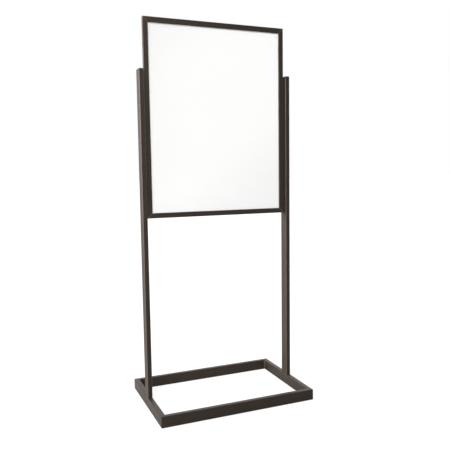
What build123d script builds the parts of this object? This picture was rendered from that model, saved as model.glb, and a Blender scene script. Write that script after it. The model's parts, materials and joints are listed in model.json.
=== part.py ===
from build123d import *
import os

# Floor-standing poster frame: an open rectangular tube base, two flat tube uprights
# and a mitred sign frame between them that holds a sheet between two clear lenses.
# Millimetres. Origin on the floor under the middle of the base, front faces -Y, +Z up.

# Sheet that the stand is made for (22 x 28 in) and the two lenses that cover it
sheet_width = 558.8
sheet_height = 711.2
sheet_thickness = 1.5
lens_height = 720.0
lens_thickness = 1.2
sheet_gap = 0.35

# Base and upright tube
tube_depth = 41.3
tube_width = 18.0
tube_wall = 2.5
tube_radius = 2.0
tube_inner_radius = 0.4
base_width = 612.0
base_depth = 395.0
glide_height = 2.0
upright_top = 1264.0

# Sign frame extrusion: two hollow legs either side of a slot, joined by a solid web
frame_width = 569.2
frame_height = 728.0
frame_bottom = 722.0
profile_face = 19.05
profile_depth = 14.3
profile_radius = 1.0
profile_wall = 1.3
slot_width = 5.0
slot_side_clearance = 1.5

# End caps on the uprights
cap_height = 4.5
cap_radius = 1.5
cap_plug_length = 15.0
cap_plug_wall = 1.6
cap_plug_clearance = 0.15

# Corner keys in the sign frame
key_leg = 45.0
key_clearance = 0.1

# Fasteners: radii are half the nominal sizes
thread_clearance = 0.05
base_bolt_radius = 2.5
base_bolt_length = 20.0
base_bolt_head_radius = 4.25
base_bolt_head_height = 5.0
base_bolt_socket = 4.0
base_bolt_offset = 10.0
washer_radius = 4.6
washer_thickness = 1.0
bolt_hole_clearance = 0.25
access_hole_radius = 4.8
foot_insert_height = 20.0
frame_screw_radius = 2.0
frame_screw_length = 25.0
frame_screw_head_radius = 3.7
frame_screw_socket = 2.5
socket_depth = 1.6
frame_screw_inset = 60.0
spacer_radius = 5.0

# Push-in glides under the base
glide_radius = 5.5
glide_stem_radius = 3.0
glide_barb_radius = 3.35
glide_stem_length = 5.5
glide_hole_radius = 3.1
glide_inset = 40.0

# Worked out from the sizes above
web = (frame_width - sheet_width) / 2 - slot_side_clearance
slot_depth = profile_face - web
leg_thickness = (profile_depth - slot_width) / 2
leg_middle = (slot_width + leg_thickness) / 2
chamber_depth = leg_thickness - 2 * profile_wall
chamber_width = profile_face - 2 * profile_wall
rail_bottom = glide_height
rail_top = rail_bottom + tube_depth
tube_top = upright_top - cap_height
upright_x = (base_width - tube_width) / 2
spacer_length = base_width / 2 - tube_width - frame_width / 2
glide_y = base_depth / 2 - glide_inset
screw_heights = (frame_bottom + frame_screw_inset, upright_top - frame_screw_inset)
slot_floor = frame_bottom + web
sides = {"left": -1, "right": 1}


def save(name, *solids):
    """Write one sub-part as parts/NAME.step."""
    shape = solids[0] if len(solids) == 1 else Compound(children=list(solids))
    export_step(shape, os.path.join("parts", name + ".step"))


def tube_section():
    """Rounded rectangular tube section: depth along X, width along Y."""
    outer = RectangleRounded(tube_depth, tube_width, tube_radius)
    inner = RectangleRounded(tube_depth - 2 * tube_wall, tube_width - 2 * tube_wall, tube_inner_radius)
    return outer - inner


def mitred(bar, length, width):
    """Cut both ends of a bar at 45 degrees. Its outer edge lies on Y = 0, its inner edge on Y = width."""
    half = length / 2
    corners = [(-half, 0), (half, 0), (half - width, width), (width - half, width)]
    trim = extrude(make_face(Polyline(*corners, close=True)), amount=base_width, both=True)
    return bar & trim


def hole(radius, height, x, y, z):
    """Cylinder along +Z that starts at the given point."""
    return Pos(x, y, z) * Cylinder(radius, height, align=(Align.CENTER, Align.CENTER, Align.MIN))


def hex_socket(across_flats, depth):
    """Hexagonal recess that goes down from Z = 0."""
    return extrude(RegularPolygon(across_flats / 2, 6, major_radius=False), amount=-depth)


# ---------------------------------------------------------------- base

def base_rail(length):
    """Mitred base tube along X with its outer side on Y = 0 and its underside on Z = 0."""
    section = Plane.YZ * Rot(0, 0, 90) * tube_section()
    bar = extrude(section, amount=length / 2, both=True)
    bar = Pos(0, tube_width / 2, tube_depth / 2) * bar
    return mitred(bar, length, tube_width)


def side_rail():
    """Side rail with bolt holes for the upright, access holes below them and glide holes."""
    rail = base_rail(base_depth)
    middle = tube_width / 2
    for offset in (-base_bolt_offset, base_bolt_offset):
        bolt_hole = base_bolt_radius + bolt_hole_clearance
        rail -= hole(bolt_hole, 2 * tube_wall, offset, middle, tube_depth - 1.5 * tube_wall)
        rail -= hole(access_hole_radius, 2 * tube_wall, offset, middle, -tube_wall / 2)
    for offset in (-glide_y, glide_y):
        rail -= hole(glide_hole_radius, 2 * tube_wall, offset, middle, -tube_wall / 2)
    return rail


def place_base_rail(rail, x, y, turn):
    """Stand a rail on the glides' level with its outer side at the given edge of the base."""
    return Pos(x, y, rail_bottom) * Rot(0, 0, turn) * rail


def glide():
    """Push-in glide: a low disc with a barbed stem. The disc stands on Z = 0."""
    disc = hole(glide_radius, glide_height, 0, 0, 0)
    disc = chamfer(disc.edges().group_by(Axis.Z)[0], glide_height / 4)
    stem = hole(glide_stem_radius, glide_stem_length, 0, 0, glide_height)
    barb_base = glide_height + tube_wall + 2 * thread_clearance
    barb_height = glide_height + glide_stem_length - barb_base
    barb = Pos(0, 0, barb_base) * Cone(
        glide_barb_radius, glide_stem_radius / 2, barb_height, align=(Align.CENTER, Align.CENTER, Align.MIN)
    )
    return disc + stem + barb


# ---------------------------------------------------------------- uprights

def upright(side):
    """Flat tube that stands on a side rail. The sign frame screws cross it near both ends of the frame."""
    section = Rot(0, 0, 90) * tube_section()
    tube = Pos(side * upright_x, 0, rail_top) * extrude(section, amount=tube_top - rail_top)
    outer_face = side * base_width / 2
    for height in screw_heights:
        through = Cylinder(frame_screw_radius + bolt_hole_clearance, 3 * tube_width, rotation=(0, 90, 0))
        tube -= Pos(side * upright_x, 0, height) * through
        tube -= Pos(outer_face, 0, height) * Rot(0, side * 90, 0) * countersink(thread_clearance)
    return tube


def countersink(clearance):
    """90 degree screw head that goes down from Z = 0 to the shank's radius."""
    depth = frame_screw_head_radius - frame_screw_radius
    large = frame_screw_head_radius + clearance
    small = frame_screw_radius + clearance
    return Cone(small, large, depth, align=(Align.CENTER, Align.CENTER, Align.MAX))


def foot_insert(side):
    """Solid block in the foot of an upright, tapped for the two bolts that come up through the rail."""
    block = extrude(
        RectangleRounded(tube_width - 2 * tube_wall, tube_depth - 2 * tube_wall, tube_inner_radius),
        amount=foot_insert_height,
    )
    for offset in (-base_bolt_offset, base_bolt_offset):
        block -= hole(base_bolt_radius, 2 * foot_insert_height, 0, offset, -foot_insert_height / 2)
    return Pos(side * upright_x, 0, rail_top) * block


def end_cap(side):
    """Plastic cap: a rounded flange as large as the tube over a hollow ribbed plug."""
    flange = extrude(RectangleRounded(tube_width, tube_depth, tube_radius), amount=cap_height)
    flange = fillet(flange.edges().group_by(Axis.Z)[-1], cap_radius)
    plug_width = tube_width - 2 * tube_wall - 2 * cap_plug_clearance
    plug_depth = tube_depth - 2 * tube_wall - 2 * cap_plug_clearance
    plug = RectangleRounded(plug_width, plug_depth, tube_inner_radius)
    pocket = RectangleRounded(plug_width - 2 * cap_plug_wall, plug_depth - 2 * cap_plug_wall, tube_inner_radius)
    rib = Rectangle(plug_width - cap_plug_wall, cap_plug_wall)
    plug = extrude(plug - pocket + rib, amount=-cap_plug_length)
    return Pos(side * upright_x, 0, tube_top) * (flange + plug)


# ---------------------------------------------------------------- sign frame

def profile_section():
    """Frame extrusion: outer edge on X = 0, open slot at X = profile_face, thickness along Y."""
    outline = Pos(profile_face / 2, 0) * RectangleRounded(profile_face, profile_depth, profile_radius)
    slot = Pos(web + slot_depth, 0) * Rectangle(2 * slot_depth, slot_width)
    section = outline - slot
    for leg in (-leg_middle, leg_middle):
        section -= Pos(profile_face / 2, leg) * Rectangle(chamber_width, chamber_depth)
    return section


def frame_rail(length):
    """Mitred frame rail along X with its outer edge on Y = 0 and the slot open towards +Y."""
    section = Plane.YZ * profile_section()
    return mitred(extrude(section, amount=length / 2, both=True), length, profile_face)


def top_rail():
    """Top rail with its web milled away, so that the sheet and the lenses lift out."""
    rail = frame_rail(frame_width)
    opening = Box(frame_width - 2 * web, 4 * web, slot_width)
    return rail - opening


def side_frame_rail():
    """Side rail of the sign frame, with its web tapped for the two screws from the upright."""
    rail = frame_rail(frame_height)
    middle = frame_bottom + frame_height / 2
    for height in screw_heights:
        rail -= Pos(height - middle, 0, 0) * Cylinder(frame_screw_radius, 3 * web, rotation=(90, 0, 0))
    return rail


def place_frame_rail(rail, x, z, along):
    """Set a rail's outer edge at the given edge of the sign frame. along is the rail's direction."""
    return Plane(origin=(x, 0, z), x_dir=along, z_dir=(0, -1, 0)).location * rail


def corner_key(x_side, z_side, y_side):
    """L-shaped key that fills the front or back chambers where two frame rails meet."""
    near = profile_wall + key_clearance
    far = profile_face - profile_wall - key_clearance
    outline = [(near, near), (key_leg, near), (key_leg, far), (far, far), (far, key_leg), (near, key_leg)]
    points = [(frame_width / 2 - u, frame_height / 2 - w) for u, w in outline]
    points = [(x_side * x, z_side * z) for x, z in points]
    thickness = chamber_depth - 2 * key_clearance
    plate = extrude(Plane.XZ * make_face(Polyline(*points, close=True)), amount=thickness / 2, both=True)
    return Pos(0, y_side * leg_middle, frame_bottom + frame_height / 2) * plate


# ---------------------------------------------------------------- sheet and lenses

def insert_plate(height, thickness, y):
    """Flat plate that stands on the floor of the bottom rail's slot."""
    plate = Box(sheet_width, thickness, height, align=(Align.CENTER, Align.CENTER, Align.MIN))
    return Pos(0, y, slot_floor) * plate


# ---------------------------------------------------------------- fasteners

def base_bolt():
    """Socket head bolt that points up. The underside of its head is on Z = 0."""
    shank_radius = base_bolt_radius - thread_clearance
    shank = hole(shank_radius, base_bolt_length, 0, 0, 0)
    head = hole(base_bolt_head_radius, base_bolt_head_height, 0, 0, -base_bolt_head_height)
    socket = Pos(0, 0, -base_bolt_head_height) * Rot(180, 0, 0) * hex_socket(base_bolt_socket, socket_depth)
    return shank + head - socket


def base_washer():
    """Plain washer that stands on Z = 0."""
    opening = hole(base_bolt_radius + bolt_hole_clearance, 2 * washer_thickness, 0, 0, -washer_thickness / 2)
    return hole(washer_radius, washer_thickness, 0, 0, 0) - opening


def frame_screw():
    """Countersunk screw that points down. The flat of its head is on Z = 0."""
    shank_radius = frame_screw_radius - thread_clearance
    shank = hole(shank_radius, frame_screw_length, 0, 0, -frame_screw_length)
    return countersink(0) + shank - hex_socket(frame_screw_socket, socket_depth)


def spacer():
    """Sleeve between an upright and the sign frame, along Z and centred."""
    bore = Cylinder(frame_screw_radius + bolt_hole_clearance, 2 * spacer_length)
    return Cylinder(spacer_radius, spacer_length) - bore


def at_base_bolts(solid, z):
    """Copies of a solid at the four bolts that hold the uprights to the base."""
    places = [(side * upright_x, offset) for side in (-1, 1) for offset in (-base_bolt_offset, base_bolt_offset)]
    return [Pos(x, y, z) * solid for x, y in places]


def at_frame_screws(solid, x):
    """Copies of a solid at the four sign frame screws, with its +Z turned outwards."""
    places = [(side, height) for side in (-1, 1) for height in screw_heights]
    return [Pos(side * x, 0, height) * Rot(0, side * 90, 0) * solid for side, height in places]


# ---------------------------------------------------------------- build

os.makedirs("parts", exist_ok=True)

plain_rail = base_rail(base_width)
bolted_rail = side_rail()
save("base_front_rail", place_base_rail(plain_rail, 0, -base_depth / 2, 0))
save("base_back_rail", place_base_rail(plain_rail, 0, base_depth / 2, 180))
save("base_right_rail", place_base_rail(bolted_rail, base_width / 2, 0, 90))
save("base_left_rail", place_base_rail(bolted_rail, -base_width / 2, 0, -90))

corner_glide = glide()
save("base_glides", *[Pos(x, y, 0) * corner_glide for x in (-upright_x, upright_x) for y in (-glide_y, glide_y)])

for side_name, side in sides.items():
    save(side_name + "_upright", upright(side))
    save(side_name + "_foot_insert", foot_insert(side))
    save(side_name + "_end_cap", end_cap(side))

frame_top = frame_bottom + frame_height
frame_middle = frame_bottom + frame_height / 2
save("frame_bottom_rail", place_frame_rail(frame_rail(frame_width), 0, frame_bottom, (1, 0, 0)))
save("frame_top_rail", place_frame_rail(top_rail(), 0, frame_top, (-1, 0, 0)))
right_rail = place_frame_rail(side_frame_rail(), frame_width / 2, frame_middle, (0, 0, 1))
save("frame_right_rail", right_rail)
save("frame_left_rail", Rot(0, 0, 180) * right_rail)

for x_name, x_side in sides.items():
    for z_name, z_side in {"lower": -1, "upper": 1}.items():
        for y_name, y_side in {"front": -1, "back": 1}.items():
            key_name = "_".join(("corner_key", z_name, x_name, y_name))
            save(key_name, corner_key(x_side, z_side, y_side))

lens_y = sheet_thickness / 2 + sheet_gap + lens_thickness / 2
save("sign_sheet", insert_plate(sheet_height, sheet_thickness, 0))
save("front_lens", insert_plate(lens_height, lens_thickness, -lens_y))
save("back_lens", insert_plate(lens_height, lens_thickness, lens_y))

washer_bottom = rail_top - tube_wall - washer_thickness
save("base_bolts", *at_base_bolts(base_bolt(), washer_bottom))
save("base_washers", *at_base_bolts(base_washer(), washer_bottom))
save("frame_screws", *at_frame_screws(frame_screw(), base_width / 2))
save("frame_spacers", *at_frame_screws(spacer(), (frame_width + spacer_length) / 2))
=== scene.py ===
"""Looks for the floor-standing poster frame: a dark bronze tube stand with a blank white sheet."""

import json
import math

import bmesh
import bpy
from mathutils import Matrix, Vector


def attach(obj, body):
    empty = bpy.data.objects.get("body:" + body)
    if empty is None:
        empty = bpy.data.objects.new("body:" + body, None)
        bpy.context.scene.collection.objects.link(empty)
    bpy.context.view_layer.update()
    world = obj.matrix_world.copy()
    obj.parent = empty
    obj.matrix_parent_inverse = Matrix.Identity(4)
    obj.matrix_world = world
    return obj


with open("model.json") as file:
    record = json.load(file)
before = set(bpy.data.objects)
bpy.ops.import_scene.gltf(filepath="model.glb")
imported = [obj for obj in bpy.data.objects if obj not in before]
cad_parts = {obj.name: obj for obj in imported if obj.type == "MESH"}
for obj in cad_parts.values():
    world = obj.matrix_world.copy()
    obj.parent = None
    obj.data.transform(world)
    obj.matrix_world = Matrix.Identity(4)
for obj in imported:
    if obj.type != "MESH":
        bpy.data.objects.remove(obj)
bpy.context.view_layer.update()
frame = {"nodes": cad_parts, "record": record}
nodes = frame["nodes"]


def object_from(name, shape, material):
    """A new object in the scene from a bmesh, which is freed."""
    mesh = bpy.data.meshes.new(name)
    shape.to_mesh(mesh)
    shape.free()
    mesh.materials.append(material)
    made = bpy.data.objects.new(name, mesh)
    bpy.context.scene.collection.objects.link(made)
    return made


# ---------------------------------------------------------------- node helpers

def shader_tree(name):
    """A new material with an empty node tree."""
    material = bpy.data.materials.new(name)
    material.use_nodes = True
    material.node_tree.nodes.clear()
    return material, material.node_tree


def add(tree, kind, inputs=None, **settings):
    """Add one node. Inputs are given by socket name or number, as values or as sockets to link."""
    made = tree.nodes.new("ShaderNode" + kind)
    for key, value in settings.items():
        setattr(made, key, value)
    for key, value in (inputs or {}).items():
        if isinstance(value, bpy.types.NodeSocket):
            tree.links.new(value, made.inputs[key])
        else:
            made.inputs[key].default_value = value
    return made


def math_node(tree, operation, *values):
    """A Math node's output."""
    return add(tree, "Math", dict(enumerate(values)), operation=operation).outputs[0]


def multiply(tree, first, second):
    """The product of two values."""
    return math_node(tree, "MULTIPLY", first, second)


def separate(tree, vector):
    """The X, Y and Z outputs of a vector."""
    return add(tree, "SeparateXYZ", {0: vector}).outputs


def object_point(tree):
    """The point in the stand's own frame, in metres."""
    return add(tree, "TexCoord").outputs["Object"]


def noise(tree, point, scale, detail=2.0, roughness=0.5):
    """A noise value around 0.5 with the given number of features in a metre."""
    inputs = {"Vector": point, "Scale": scale, "Detail": detail, "Roughness": roughness}
    return add(tree, "TexNoise", inputs).outputs["Fac"]


def stretched(tree, point, factors):
    """The point with each axis scaled."""
    return add(tree, "VectorMath", {0: point, 1: factors}, operation="MULTIPLY").outputs[0]


def spread(tree, value, low, high):
    """Map 0.3 to 0.7, where noise mostly lies, to low and high."""
    inputs = {"Value": value, "From Min": 0.3, "From Max": 0.7, "To Min": low, "To Max": high}
    return add(tree, "MapRange", inputs).outputs["Result"]


def ramp(tree, value, start, end):
    """0 at start, 1 at end, smooth between them."""
    inputs = {"Value": value, "From Min": start, "From Max": end, "To Min": 0.0, "To Max": 1.0}
    return add(tree, "MapRange", inputs, interpolation_type="SMOOTHSTEP").outputs[0]


def blend_colours(tree, share, first, second):
    """A mix of two colours."""
    mix = add(tree, "Mix", {0: share, 6: first, 7: second}, data_type="RGBA")
    return mix.outputs[2]


def bump(tree, height, distance, normal=None):
    """A normal raised by height times distance, in metres, on top of the given normal."""
    inputs = {"Height": height, "Distance": distance}
    if normal is not None:
        inputs["Normal"] = normal
    return add(tree, "Bump", inputs).outputs["Normal"]


def principled(tree, inputs):
    """A Principled shader joined to the material's output."""
    shader = add(tree, "BsdfPrincipled", inputs)
    add(tree, "OutputMaterial", {"Surface": shader.outputs[0]})


# ---------------------------------------------------------------- materials

# Linear colours
WHITE = (1.0, 1.0, 1.0, 1.0)
BRONZE = (0.0170, 0.0142, 0.0113, 1.0)
BRONZE_WARM = (0.0207, 0.0157, 0.0127, 1.0)
BRONZE_SHINE = (1.0, 0.82, 0.72, 1.0)
MITRE_HIGHLIGHT = (0.15, 0.135, 0.12, 1.0)
PLASTIC_DARK = (0.010, 0.010, 0.010, 1.0)
PLASTIC_LIGHT = (0.018, 0.018, 0.018, 1.0)
ZINC_DARK = (0.55, 0.55, 0.52, 1.0)
ZINC_LIGHT = (0.68, 0.68, 0.66, 1.0)
CARD_DARK = (0.92, 0.92, 0.915, 1.0)
CARD_LIGHT = (0.95, 0.95, 0.945, 1.0)
CARD_PAINTED_SHADE = (0.865, 0.865, 0.865, 1.0)

# Painted highlight: how much lighter the coat is painted along upright corners and on the welds, standing in for
# how light catches them
CORNER_HIGHLIGHT_GAIN = 4.0
WELD_HIGHLIGHT_GAIN = 4.0

# Sign frame in metres, and the slope of the painted shade across the sheet
FRAME_WIDTH = 0.5692
FRAME_HEIGHT = 0.728
FRAME_MIDDLE = (0.0, 0.0, 1.086)
CARD_SHADE_SLANT = (1.8, 0.0, -2.8)

LENS_INDEX = 1.49


def scaled(colour, factor):
    """The colour made lighter by the factor."""
    return [factor * part for part in colour[:3]] + [1.0]


def corner_highlight_mask(tree):
    """1 on rounded corners that run along Z, 0 on flat faces: the mask of the painted highlight along the
    corners.
    """
    normal = separate(tree, add(tree, "NewGeometry").outputs["Normal"])
    product = multiply(tree, normal[0], normal[1])
    return ramp(tree, math_node(tree, "ABSOLUTE", product), 0.1, 0.4)


def powder_coat(name, flat, corner):
    """Satin dark bronze powder coat: faint warm mottling, a fine orange peel and a painted highlight along
    upright corners.

    Flat and corner scale the plain bronze, on flat faces and along upright corners. Corner above 1 paints a
    lighter highlight along the corners; for the welds, flat and corner both paint the beads lighter as a
    highlight.
    """
    material, tree = shader_tree(name)
    point = object_point(tree)
    mottle = spread(tree, noise(tree, point, 14.0, 3.0), 0.0, 1.0)
    colour = blend_colours(tree, mottle, scaled(BRONZE, flat), scaled(BRONZE_WARM, flat))
    # painted highlight: the coat is painted lighter along the upright corners
    colour = blend_colours(tree, corner_highlight_mask(tree), colour, scaled(BRONZE_WARM, corner))
    roughness = spread(tree, noise(tree, point, 60.0), 0.36, 0.44)
    peel = bump(tree, noise(tree, point, 450.0, 2.0), 0.00006)
    grain = bump(tree, noise(tree, point, 2600.0, 1.0), 0.000012, normal=peel)
    principled(tree, {
        "Base Color": colour,
        "Roughness": roughness,
        "Specular Tint": BRONZE_SHINE,
        "Normal": grain,
    })
    return material


def from_frame_middle(tree, point):
    """The point measured from the middle of the sign frame."""
    return add(tree, "VectorMath", {0: point, 1: FRAME_MIDDLE}, operation="SUBTRACT").outputs[0]


def frame_mitres(tree, point):
    """1 on the hairline joints at the four corners of the sign frame, 0 elsewhere."""
    offset = separate(tree, from_frame_middle(tree, point))
    across = math_node(tree, "SUBTRACT", FRAME_WIDTH / 2, math_node(tree, "ABSOLUTE", offset[0]))
    upward = math_node(tree, "SUBTRACT", FRAME_HEIGHT / 2, math_node(tree, "ABSOLUTE", offset[2]))
    gap = math_node(tree, "ABSOLUTE", math_node(tree, "SUBTRACT", across, upward))
    return ramp(tree, gap, 0.0009, 0.0004)


def anodised(along):
    """Dark bronze extrusion: fine draw lines along X (0) or Z (2), a painted highlight along upright corners,
    and hairline joints at the mitres painted as lighter highlight lines.
    """
    material, tree = shader_tree("bronze extrusion " + "xyz"[along])
    point = object_point(tree)
    factors = [1.0, 1.0, 1.0]
    factors[along] = 0.01
    drawn = noise(tree, stretched(tree, point, factors), 900.0, 3.0)
    mottle = spread(tree, noise(tree, point, 11.0, 3.0), 0.0, 1.0)
    joint_groove_and_highlight = frame_mitres(tree, point)
    colour = blend_colours(tree, mottle, BRONZE, BRONZE_WARM)
    # painted highlight: the coat is painted lighter along the upright corners
    colour = blend_colours(tree, corner_highlight_mask(tree), colour, scaled(BRONZE_WARM, CORNER_HIGHLIGHT_GAIN))
    # painted highlight: the mitre joints are painted as a lighter line; the bump below gives them a groove
    colour = blend_colours(tree, joint_groove_and_highlight, colour, MITRE_HIGHLIGHT)
    roughness = spread(tree, drawn, 0.34, 0.46)
    lines = bump(tree, drawn, 0.00001)
    lines = bump(tree, joint_groove_and_highlight, -0.0001, normal=lines)
    principled(tree, {
        "Base Color": colour,
        "Roughness": roughness,
        "Specular Tint": BRONZE_SHINE,
        "Normal": lines,
    })
    return material


def moulded_black():
    """Matt black plastic with a fine moulded grain."""
    material, tree = shader_tree("moulded black plastic")
    point = object_point(tree)
    grain = noise(tree, point, 1800.0, 2.0)
    colour = blend_colours(tree, spread(tree, grain, 0.0, 1.0), PLASTIC_DARK, PLASTIC_LIGHT)
    principled(tree, {
        "Base Color": colour,
        "Roughness": spread(tree, grain, 0.5, 0.65),
        "Normal": bump(tree, grain, 0.00003),
    })
    return material


def zinc_plate():
    """Bright zinc plating on steel, slightly mottled."""
    material, tree = shader_tree("zinc plate")
    point = object_point(tree)
    mottle = noise(tree, point, 350.0, 3.0)
    colour = blend_colours(tree, spread(tree, mottle, 0.0, 1.0), ZINC_DARK, ZINC_LIGHT)
    principled(tree, {
        "Base Color": colour,
        "Metallic": 1.0,
        "Roughness": spread(tree, mottle, 0.28, 0.42),
        "Normal": bump(tree, noise(tree, point, 2200.0), 0.00001),
    })
    return material


def screw_finish():
    """Dark bronze finish of the frame screws."""
    material, tree = shader_tree("bronze screw finish")
    point = object_point(tree)
    mottle = noise(tree, point, 900.0, 2.0)
    colour = blend_colours(tree, spread(tree, mottle, 0.0, 1.0), BRONZE, BRONZE_WARM)
    principled(tree, {
        "Base Color": colour,
        "Roughness": spread(tree, mottle, 0.34, 0.46),
        "Specular Tint": BRONZE_SHINE,
        "Normal": bump(tree, mottle, 0.00002),
    })
    return material


def card():
    """Smooth white card with a faint fibre, and painted shade that greys it toward its top left and bottom
    right, as light falls off across the sheet.
    """
    material, tree = shader_tree("white card")
    point = object_point(tree)
    fibre = noise(tree, point, 1500.0, 4.0, 0.7)
    colour = blend_colours(tree, spread(tree, fibre, 0.0, 1.0), CARD_DARK, CARD_LIGHT)
    # painted shade: the sheet is painted greyer toward its top left and bottom right
    middle = from_frame_middle(tree, point)
    slant = add(tree, "VectorMath", {0: middle, 1: CARD_SHADE_SLANT}, operation="DOT_PRODUCT").outputs["Value"]
    bottom_right = ramp(tree, slant, 0.3, 1.3)
    top_left = ramp(tree, slant, -0.7, -1.5)
    painted_shade = math_node(tree, "MULTIPLY_ADD", top_left, 0.6, bottom_right)
    colour = blend_colours(tree, painted_shade, colour, CARD_PAINTED_SHADE)
    principled(tree, {
        "Base Color": colour,
        "Roughness": 0.7,
        "Normal": bump(tree, fibre, 0.00001),
    })
    return material


def clear_lens():
    """Clear plastic sheet: what is behind it shows through both its faces, and it shines with Fresnel."""
    material, tree = shader_tree("clear lens")
    point = object_point(tree)
    ripple = noise(tree, point, 9.0, 2.0)
    normal = bump(tree, ripple, 0.0002)
    gloss = add(tree, "BsdfGlossy", {"Color": WHITE, "Roughness": 0.12, "Normal": normal})
    through = add(tree, "BsdfTransparent", {"Color": WHITE})
    leaving = add(tree, "NewGeometry").outputs["Backfacing"]
    index = math_node(tree, "MULTIPLY_ADD", leaving, 1 / LENS_INDEX - LENS_INDEX, LENS_INDEX)
    fresnel = add(tree, "Fresnel", {"IOR": index, "Normal": normal}).outputs[0]
    mix = add(tree, "MixShader", {0: fresnel, 1: through.outputs[0], 2: gloss.outputs[0]})
    add(tree, "OutputMaterial", {"Surface": mix.outputs[0]})
    return material


finishes = {
    "bronze_steel": powder_coat("bronze powder coat", 1.0, CORNER_HIGHLIGHT_GAIN),
    "black_plastic": moulded_black(),
    "zinc_steel": zinc_plate(),
    "bronze_fastener": screw_finish(),
    "white_card": card(),
    "clear_plastic": clear_lens(),
}
# painted highlight: the welds get a lighter copy of the bronze coat, standing in for how light catches the beads
weld_highlight_coat = powder_coat("bronze powder coat on welds, painted lighter as highlight", WELD_HIGHLIGHT_GAIN, WELD_HIGHLIGHT_GAIN)
level_extrusion = anodised(0)
upright_extrusion = anodised(2)


def finish_for(name, slot_name):
    """A node's material. The extrusions' draw lines follow the rail."""
    if slot_name != "bronze_aluminium":
        return finishes[slot_name]
    return level_extrusion if "top" in name or "bottom" in name else upright_extrusion


for part in frame["record"]["subparts"]:
    for material_slot in nodes[part["node"]].material_slots:
        material_slot.material = finish_for(part["node"], part["material_slot"])


# ---------------------------------------------------------------- details

# Inside corners of the base and the weld beads in them, in metres
BASE_INSIDE_X = 0.288
BASE_INSIDE_Y = 0.1795
BEAD_LEG = 0.004
BEAD_BOTTOM = 0.0045
BEAD_TOP = 0.0405
BEAD_OVERLAP = 0.0002
BEAD_ROWS = 12
BEAD_TURNS = 6
BEAD_RIPPLE = 0.12
BEAD_END_TAPER = 0.55


def bead_ring(x, y, reach):
    """Points around the bead at one height: a hollow arc from wall to wall, closed behind the corner at x, y."""
    offsets = []
    for turn in range(BEAD_TURNS + 1):
        angle = 0.5 * math.pi * turn / BEAD_TURNS
        u = reach * (1.0 - math.sin(angle)) - BEAD_OVERLAP
        v = reach * (1.0 - math.cos(angle)) - BEAD_OVERLAP
        offsets.append((u, v))
    offsets.append((-BEAD_OVERLAP, -BEAD_OVERLAP))
    side_x = math.copysign(1.0, x)
    side_y = math.copysign(1.0, y)
    return [(x - side_x * u, y - side_y * v) for u, v in offsets]


def weld_bead(x, y):
    """Small hollow weld bead that stands in an inside corner of the base, at the given corner point."""
    shape = bmesh.new()
    rings = []
    for row in range(BEAD_ROWS + 1):
        height = BEAD_BOTTOM + (BEAD_TOP - BEAD_BOTTOM) * row / BEAD_ROWS
        taper = BEAD_END_TAPER if row in (0, BEAD_ROWS) else 1.0
        reach = BEAD_LEG * (1.0 + BEAD_RIPPLE * math.sin(9.0 * row)) * taper
        rings.append([shape.verts.new((*point, height)) for point in bead_ring(x, y, reach)])
    for lower, upper in zip(rings, rings[1:]):
        for here in range(len(lower)):
            after = (here + 1) % len(lower)
            shape.faces.new((lower[here], lower[after], upper[after], upper[here]))
    shape.faces.new(rings[0])
    shape.faces.new(rings[-1])
    bmesh.ops.recalc_face_normals(shape, faces=shape.faces)
    side = "left" if x < 0 else "right"
    end = "front" if y < 0 else "back"
    bead = object_from(f"weld_{side}_{end}", shape, weld_highlight_coat)
    for polygon in bead.data.polygons:
        polygon.use_smooth = len(polygon.vertices) == 4
    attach(bead, "stand")


for corner_x in (-BASE_INSIDE_X, BASE_INSIDE_X):
    for corner_y in (-BASE_INSIDE_Y, BASE_INSIDE_Y):
        weld_bead(corner_x, corner_y)


# ---------------------------------------------------------------- stage, light and camera

FLOOR_REACH = 60.0
FLOOR_COLOUR = (0.22, 0.22, 0.22, 1.0)
FLOOR_GLOW = 0.86
FLOOR_BOUNCE = 0.2
BOUNCE_COLOUR = (1.0, 0.88, 0.84, 1.0)
BACKDROP_COLOUR = (1.0, 0.95, 0.92, 1.0)
SUN_SPREAD = 50.0


def make_floor():
    """A pale floor that glows white for the camera. As bounced light, it glows dimly, behind and to the left."""
    shape = bmesh.new()
    signs = ((-1, -1), (1, -1), (1, 1), (-1, 1))
    shape.faces.new([shape.verts.new((FLOOR_REACH * x, FLOOR_REACH * y, 0.0)) for x, y in signs])
    material, tree = shader_tree("pale floor")
    camera_ray = add(tree, "LightPath").outputs["Is Camera Ray"]
    place = separate(tree, object_point(tree))
    behind = ramp(tree, math_node(tree, "MULTIPLY_ADD", place[0], -0.4, place[1]), -0.3, 0.15)
    bounced = multiply(tree, behind, FLOOR_BOUNCE)
    principled(tree, {
        "Base Color": FLOOR_COLOUR,
        "Roughness": 1.0,
        "Specular IOR Level": 0.0,
        "Emission Color": blend_colours(tree, camera_ray, BOUNCE_COLOUR, WHITE),
        "Emission Strength": add(tree, "Mix", {0: camera_ray, 2: bounced, 3: FLOOR_GLOW}).outputs[0],
    })
    floor = object_from("floor", shape, material)


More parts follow.
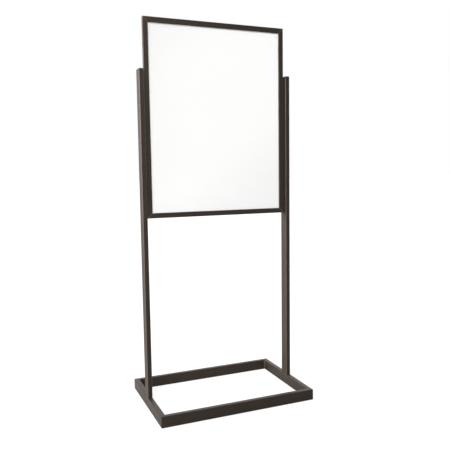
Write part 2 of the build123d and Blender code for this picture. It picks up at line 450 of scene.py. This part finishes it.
def make_world():
    """White where the camera looks past the stand. For light, a backdrop behind and a strip at the right."""
    world = bpy.data.worlds.new("studio")
    bpy.context.scene.world = world
    world.use_nodes = True
    tree = world.node_tree
    tree.nodes.clear()
    x, y, z = separate(tree, add(tree, "TexCoord").outputs["Generated"])[:3]
    left = ramp(tree, x, 0.3, -0.4)
    level = math_node(tree, "MULTIPLY_ADD", left, -0.45, 1.2)
    backdrop = multiply(tree, ramp(tree, y, 0.0, 0.7), level)
    side = multiply(tree, ramp(tree, x, 0.6, 0.9), ramp(tree, y, -0.35, 0.1))
    strip = multiply(tree, side, 8.0)
    low = ramp(tree, z, 0.75, 0.45)
    bright = multiply(tree, math_node(tree, "MAXIMUM", backdrop, strip), low)
    bright = math_node(tree, "ADD", bright, 0.08)
    lit = add(tree, "Background", {"Color": BACKDROP_COLOUR, "Strength": bright})
    seen = add(tree, "Background", {"Color": WHITE, "Strength": 1.0})
    camera_ray = add(tree, "LightPath").outputs["Is Camera Ray"]
    mix = add(tree, "MixShader", {0: camera_ray, 1: lit.outputs[0], 2: seen.outputs[0]})
    add(tree, "OutputWorld", {"Surface": mix.outputs[0]})


def soft_sun(name, direction, strength):
    """An even soft light that comes from the given direction."""
    data = bpy.data.lights.new(name, "SUN")
    data.energy = strength
    data.angle = math.radians(SUN_SPREAD)
    light = bpy.data.objects.new(name, data)
    light.rotation_euler = Vector(direction).to_track_quat("Z", "Y").to_euler()
    bpy.context.scene.collection.objects.link(light)


def make_camera():
    """Stands to the left of the stand's front, at chest height, looking slightly down. Angles in radians."""
    place = Vector((-0.8043, -1.9673, 0.8851))
    turn = 0.3777
    tilt = 0.0942
    roll = -0.016
    right = Vector((math.cos(turn), -math.sin(turn), 0.0))
    ahead = Vector((math.sin(turn) * math.cos(tilt), math.cos(turn) * math.cos(tilt), -math.sin(tilt)))
    up = right.cross(ahead)
    across = right * math.cos(roll) + up * math.sin(roll)
    upward = up * math.cos(roll) - right * math.sin(roll)
    data = bpy.data.cameras.new("camera")
    data.sensor_width = 36.0
    data.lens = 43.73
    data.shift_x = 0.0271
    data.clip_start = 0.05
    data.clip_end = 200.0
    camera = bpy.data.objects.new("camera", data)
    axes = Matrix((across, upward, -ahead)).transposed()
    camera.matrix_world = Matrix.Translation(place) @ axes.to_4x4()
    bpy.context.scene.collection.objects.link(camera)
    bpy.context.scene.camera = camera


make_floor()
make_world()
soft_sun("key", (-0.36, -0.88, 0.38), 3.3)
soft_sun("left side", (-0.95, 0.2, 0.2), 9.5)
make_camera()
bpy.context.scene.view_settings.view_transform = "Standard"
